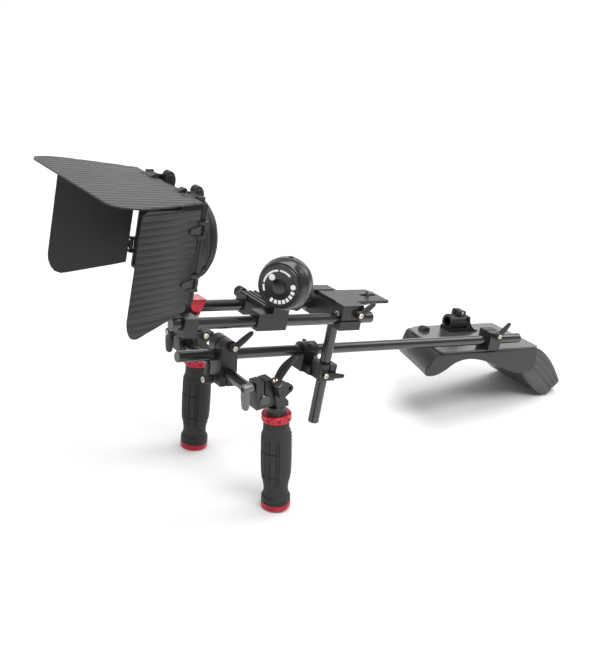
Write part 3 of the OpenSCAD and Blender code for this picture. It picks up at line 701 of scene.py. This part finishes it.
def catches():
    """Two humped catches on top of the frame, each with a screw through it."""
    top = AXIS_Z + FRAME_H / 2
    x = FRAME_X
    shapes, screws = [], []
    for s in (-1, 1):
        line = smooth_line([(x + 5.7, top + 8.0), (x + 8.4, top + 11.0), (x + 12, top + 12),
                            (x + 16, top + 10), (x + 19, top + 5), (x + 20, top - 1),
                            (x + 19, top - 7.6)], 6)
        outline = [(x + 5.7, top + 0.1)] + line + [(x + 7.2, top - 5.6), (x + 7.2, top + 0.1)]
        shapes.append(prism(outline, s * CATCH_Y - 4.7, s * CATCH_Y + 4.7))
        screws.append(socket_screw((x + 12.5, s * CATCH_Y - 4.6, top + 5.6), (0, -1, 0), 2.6, 1.1))
    piece("shade_catches", shapes, RIG, HOUSING, "matte_box", ("flap_knobs",), 1.1)
    piece("catch_screws", screws, RIG, MACHINED, "matte_box")


top_shade()
side_shade(-1)
side_shade(1)
housing()
catches()


# ---------------------------------------------------------- follow focus
FACE = Vector((-88, -62, 56))
DIAL_TURN = math.radians(33)
INWARD = Vector((math.cos(DIAL_TURN), math.sin(DIAL_TURN), 0))
ACROSS = Vector((math.sin(DIAL_TURN), -math.cos(DIAL_TURN), 0))


def on_dial(r, angle, d):
    """Point on the dial at a radius and a clock angle from its right, d behind the face."""
    t = math.radians(angle)
    return FACE + INWARD * d + (ACROSS * math.cos(t) + Vector((0, 0, 1)) * math.sin(t)) * r


def sector(r0, r1, a0, a1, d0, d1, steps=10):
    """Flat piece of ring between two radii and two angles."""
    pts = [(r1, a0 + (a1 - a0) * i / steps) for i in range(steps + 1)]
    pts += [(r0, a1 + (a0 - a1) * i / steps) for i in range(steps + 1)]
    return loft([[on_dial(r, a, d0) for r, a in pts], [on_dial(r, a, d1) for r, a in pts]])


def focus_wheel():
    """Turned hand wheel with a domed shoulder, two grooves and a marked dial."""
    barrel = [(9, 3.0), (27.2, 3.0), (28.2, 3.3), (28.9, 4.2), (30.6, 8.5), (31.9, 12.2),
              (32.3, 13.4), (31.7, 13.9), (31.7, 14.7), (32.5, 15.2), (33.0, 17.0), (33.0, 25.4),
              (32.4, 25.9), (32.4, 26.9), (33.0, 27.4), (32.8, 30.4), (31.6, 34.6), (29.8, 37.6),
              (28.6, 38.0), (9, 38.0)]
    shapes = [lathe(barrel, FACE, INWARD, 120)]
    peg = FACE + INWARD * 24.5
    shapes.append(lathe([(3.2, 31.5), (3.2, 33.6), (2.7, 34.3), (1.2, 34.4)], peg, (0, 0, 1), 28))
    obj = piece("focus_wheel", shapes, RIG, WHEEL, "wheel", ("follow_hand_wheel",))
    face = [(1, 1.9), (7.2, 1.5), (9.2, 0.9), (10.2, 0.5), (24.6, 0.1), (25.4, -0.3),
            (26.4, -0.4), (27.0, 0.3), (27.0, 2.9), (20, 2.95)]
    dial = piece("focus_dial", [lathe(face, FACE, INWARD, 96)], RIG, DIAL, "wheel",
                 ("follow_dial",))
    lens = piece("focus_dial_centre", [lathe([(9.3, 1.2), (9.0, 0.35), (7.4, 0.0), (4.2, -0.25),
                                              (1, -0.35)], FACE, INWARD, 64)], RIG, GLASSY, "wheel")
    marks = [sector(18.6, 20.9, 185, 209, -0.18, 0.6), sector(18.6, 20.9, 103, 178, -0.18, 0.6, 30),
             sector(18.6, 20.9, 53, 96, -0.18, 0.6, 20)]
    for a in (-10, -27, -44, -60, -76, -92, -109):
        marks.append(sector(16.6, 21.4, a - 5.4, a + 5.4, -0.18, 0.6, 6))
    marks.append(lathe([(3.3, 0.6), (3.3, -0.2), (3.0, -0.24)], on_dial(18.6, 12, 0), INWARD, 28))
    marks.append(lathe([(4.0, 0.6), (4.0, -0.2), (3.6, -0.24)], on_dial(14.2, 139, 0), INWARD, 28))
    ticks = [sector(22.6, 24.0, a - 0.5, a + 0.5, -0.12, 0.6, 1) for a in range(0, 360, 10)]
    piece("focus_dial_marks", marks, RIG, MARKS, "wheel")
    piece("focus_dial_ticks", ticks, RIG, TICKS, "wheel")


focus_wheel()


def knob(name, node, body, at, out, r, length, material, teeth=24):
    """Small knurled knob with a chamfered end."""
    def wave(t, h):
        return -0.45 if (t * teeth / (2 * math.pi)) % 1.0 < 0.4 and 1.2 < h < length - 1.2 else 0
    shape = lathe([(r - 2.5, 0), (r - 0.6, 0.05), (r, 0.7), (r, 1.1), (r, 1.3), (r, length - 1.3),
                   (r, length - 1.1), (r - 0.8, length), (r - 3, length), (r - 3.4, length - 0.8)],
                  at, out, teeth * 5, wave)
    piece(name, [shape], RIG, material, body, (node,))


knob("follow_knurled_knob", "follow_clamp_knob", "follow_knob", (-64, 42.3, 10.6), (0, 1, 0), 7.5,
     11.7, MACHINED)
knob("matte_knurled_knob", "matte_clamp_knob", "matte_knob", (-146, 41.4, 9.6), (0, 1, 0), 7.0,
     9.6, MACHINED)


# ------------------------------------------------------------ shoulder pad
def pad_top():
    """Flat plate with rounded corners over the saddle."""
    outline = rounded([(300, 28, 8), (510, 28, 6), (510, 136, 6), (322, 136, 22)], 8)
    obj = piece("pad_plate", [prism(outline, -86.4, -83.4, "z")], RIG, PLATE, "shoulder_unit",
                ("shoulder_plate",), 0.6)


def pad_saddle():
    """Moulded saddle with an arched underside and a slanting nose."""
    under = smooth_line([(508, -121), (500, -126.6), (474, -126.6), (440, -117), (400, -103.5),
                         (362, -97.2), (335, -101.5), (316, -112.5), (303, -118.6), (292, -120.8),
                         (281, -120.2), (275.4, -116.4), (274, -109.5)], 6)
    outline = [(505, -86.5), (509, -90), (511.6, -108)] + under + [(286, -94), (293, -88.6),
                                                                  (300, -86.5)]

    near, far, nose_end = 26, 138, 342

    def nose(x, y, z):
        """Slant the nose: its far side lies further back and a little lower."""
        if x < nose_end:
            across = (y - near) / (far - near)
            x += across * 43 * (nose_end - x) / 68
            z -= across * 5 * max(0, -95 - z) / 25
        return (x, y, z)
    body = prism(outline, near, far, warp=nose)
    obj = piece("pad_saddle", [body], RIG, SHELL, "shoulder_unit", ("shoulder_shell",), 2.4)
    obj.modifiers["edges"].segments = 4


def pad_tail():
    """Curved tail whose flanks step out in ridges toward the outer face."""
    outer = smooth_line([(508, -88.2), (514, -88.8), (521, -91), (538, -101), (558, -117.5),
                         (574, -135), (585, -149.5)], 6)
    inner = smooth_line([(489, -128), (498, -138), (511, -148), (526, -158.4),
                         (541, -166.6), (557, -170)], 6)
    near, far = 26.8, 137.2
    count = 30
    rings = []

    def along(line, t):
        f = t * (len(line) - 1)
        i = min(int(f), len(line) - 2)
        return Vector(line[i]).lerp(Vector(line[i + 1]), f - i)
    flank = [(0.0, 2.0), (0.03, 0.6), (0.07, 0.0), (0.40, 0.0), (0.43, 1.6), (0.45, 1.6),
             (0.48, 0.4), (0.55, 0.2), (0.60, 0.5), (0.62, 1.9), (0.64, 1.9), (0.67, 0.7),
             (0.74, 0.5), (0.79, 0.9), (0.81, 2.3), (0.83, 2.3), (0.86, 1.2), (0.93, 1.4),
             (0.98, 2.6), (1.0, 4.4)]
    for k in range(count + 1):
        t = k / count
        a, b = along(inner, t), along(outer, t)
        tuck = 0.0
        if k == count:
            # The last ring is drawn in, which softens the lower edge.
            mid = (a + b) / 2
            a, b = mid + (a - mid) * 0.93, mid + (b - mid) * 0.93
            tuck = 1.6
        ring = []
        for n, y in flank:
            p = a.lerp(b, n)
            ring.append((p.x, near + y + tuck, p.y))
        for n, y in reversed(flank):
            p = a.lerp(b, n)
            ring.append((p.x, far - y - tuck, p.y))
        rings.append(ring)
    # The tail takes the lighter copy of the shell finish, which is painted light.
    obj = piece("pad_tail", [loft(rings)], RIG, SHELL_PAINTED_LIGHT, "shoulder_unit", ("shoulder_tail",))


def empty_clamp():
    """Unused rod clamp on the pad: round mouth, flared foot and a split top."""
    x, y, z = 406, 116, -70
    back = smooth_line([(x + 40, -82.6), (x + 31, -80), (x + 23, -74), (x + 18, -66),
                        (x + 16, -57.5)], 5)
    n = 64

    def mouth(r, px):
        return [(px, y + r * math.cos(2 * math.pi * i / n), z + r * math.sin(2 * math.pi * i / n))
                for i in range(n)]
    collar = loft([mouth(7.55, x - 19.9), mouth(11.6, x - 19.9), mouth(12.4, x - 19.2),
                   mouth(12.6, x - 10), mouth(12.6, x + 12), mouth(11.6, x + 13),
                   mouth(7.55, x + 13), mouth(7.55, x - 19.9)], False)
    foot = prism([(x - 19.8, -83.3), (x + 40, -83.3)] + back[:-1] + [(x + 12.5, -60),
                 (x + 12.5, -78), (x - 19.8, -78)], y - 13, y + 13)
    ears = [prism(rounded([(x - 7, -59, 0), (x + 9, -59, 0), (x + 8, -50.4, 2), (x - 6, -50.2, 2)]),
                  y + a, y + b) for a, b in ((-8.5, -1.2), (1.2, 8.5))]
    obj = piece("spare_clamp", [collar, foot] + ears, RIG, MACHINED, "shoulder_unit",
                ("shoulder_far_clamp",), 0.6)
    screw = socket_screw((x + 1, y - 8.4, -54.4), (0, -1, 0), 2.6, 1.6)
    piece("spare_clamp_screw", [screw], RIG, STEEL, "shoulder_unit")


def bumper():
    """Low moulded stop with a sloping top."""
    shape = prism(rounded([(334, -83.3, 0), (350, -83.3, 0), (349, -78.4, 2), (345, -77.2, 2),
                           (337, -77.2, 2)]), 112.2, 123.8)
    piece("pad_bumper", [shape], RIG, RUBBER, "shoulder_unit", ("shoulder_bumper",), 0.8)


pad_top()
pad_saddle()
pad_tail()
empty_clamp()
bumper()

# ------------------------------------------------------- screws and collars
SCREWS = [("base_front_bolt", "camera_base", (35.9, -33, 8), (-1, 0, 0), 3.6, 2.2),
          ("cross_clamp_screw", "cross_clamp", (60, 24, -78), (0, -1, 0), 3.8, 2.4),
          ("plate_end_screw", "camera_base", (35.9, 33, 8), (-1, 0, 0), 3.6, 2.2)]
for name, body, at, out, r, height in SCREWS:
    piece(name, [socket_screw(at, out, r, height)], RIG, STEEL, body)


# ------------------------------------------------------- CAD parts that stay
EDGES = {"handle_block": 1.3, "left_joint_clamp": 1.4, "right_joint_clamp": 1.4,
         "left_tilt_bracket": 0.6, "right_tilt_bracket": 0.6, "cross_clamp_body": 0.8,
         "cross_clamp_cap": 0.5, "base_block": 0.8, "camera_plate": 0.4, "follow_bridge": 0.6,
         "follow_gearbox": 0.7, "matte_rod_clamp": 0.8, "matte_near_clamp": 0.8,
         "matte_support_arm": 0.8, "shoulder_near_clamp": 0.7}
for key, obj in CAD.items():
    if key in EDGES:
        soften(obj, EDGES[key])
    else:
        obj.data.shade_smooth()
        obj.data.set_sharp_from_angle(angle=math.radians(35))
    for slot in obj.material_slots:
        base = slot.material.name.split(".")[0] if slot.material else ""
        if base in SLOTS:
            slot.material = SLOTS[base]


# ------------------------------------------------------------ floor and light
def floor():
    """Plain pale sweep that turns up far behind the rig."""
    half, back, bend = 6.0, 5.0, 1.2
    away_from_camera = math.radians(53.7)
    profile = [(-half, 0)] + [(back - bend + bend * math.sin(a), bend - bend * math.cos(a))
                              for a in [math.pi / 2 * i / 12 for i in range(13)]] + [(back, 5)]
    verts, faces = [], []
    for d, z in profile:
        verts += [(d, -half, z), (d, half, z)]
    for i in range(len(profile) - 1):
        faces.append([2 * i, 2 * i + 2, 2 * i + 3, 2 * i + 1])
    turn = Matrix.Rotation(away_from_camera, 4, "Z")
    mesh = bpy.data.meshes.new("floor")
    mesh.from_pydata([turn @ Vector(v) for v in verts], [], faces)
    mesh.shade_smooth()
    obj = bpy.data.objects.new("floor", mesh)
    bpy.context.scene.collection.objects.link(obj)
    m = bpy.data.materials.new("floor")
    m.use_nodes = True
    bsdf = m.node_tree.nodes["Principled BSDF"]
    bsdf.inputs["Base Color"].default_value = (0.8, 0.8, 0.805, 1)
    bsdf.inputs["Roughness"].default_value = 0.9
    mesh.materials.append(m)


def lamp(name, spot, aim, size, power):
    """Rectangular soft box that faces a point."""
    data = bpy.data.lights.new(name, "AREA")
    data.shape = "RECTANGLE"
    data.size, data.size_y = size
    data.energy = power
    obj = bpy.data.objects.new(name, data)
    bpy.context.scene.collection.objects.link(obj)
    obj.location = spot
    obj.rotation_euler = (Vector(aim) - Vector(spot)).to_track_quat("-Z", "Y").to_euler()


floor()
lamp("key", (-0.3, -1.3, 2.4), (0, 0, 0.15), (1.6, 1.1), 48)
lamp("top", (0.3, 0.5, 2.6), (0, 0, 0.1), (2.2, 1.6), 50)
lamp("side", (-2.2, 0.5, 1.5), (0, 0, 0.2), (1.2, 1.2), 9)
lamp("rear", (2.3, -0.2, 1.6), (0, 0, 0.2), (1.4, 1.4), 16)
lamp("back", (1.5, 2.0, 2.4), (2.6, 3.6, 0.6), (3.0, 1.0), 95)
world = bpy.data.worlds.new("studio")
bpy.context.scene.world = world
world.use_nodes = True
sky = world.node_tree.nodes["Background"]
sky.inputs["Color"].default_value = (0.94, 0.95, 0.96, 1)
sky.inputs["Strength"].default_value = 0.4
bpy.context.scene.view_settings.view_transform = "Standard"

# ---------------------------------------------------------------- camera
# Standpoint in front of the near side, a little above the rig.
EYE = ORIGIN + Vector((-0.849, -1.159, 0.561))
LOOK = Vector((0.5477, 0.7451, -0.3807)).normalized()
RIGHT = Vector((0.8216, -0.5650, 0.0762)).normalized()
cam = bpy.data.objects.new("camera", bpy.data.cameras.new("camera"))
bpy.context.scene.collection.objects.link(cam)
above = RIGHT.cross(LOOK)
cam.matrix_world = Matrix(((RIGHT.x, above.x, -LOOK.x, EYE.x), (RIGHT.y, above.y, -LOOK.y, EYE.y),
                           (RIGHT.z, above.z, -LOOK.z, EYE.z), (0, 0, 0, 1)))
cam.data.sensor_width = 36
cam.data.lens = 64.32
cam.data.clip_start = 0.05
bpy.context.scene.camera = cam
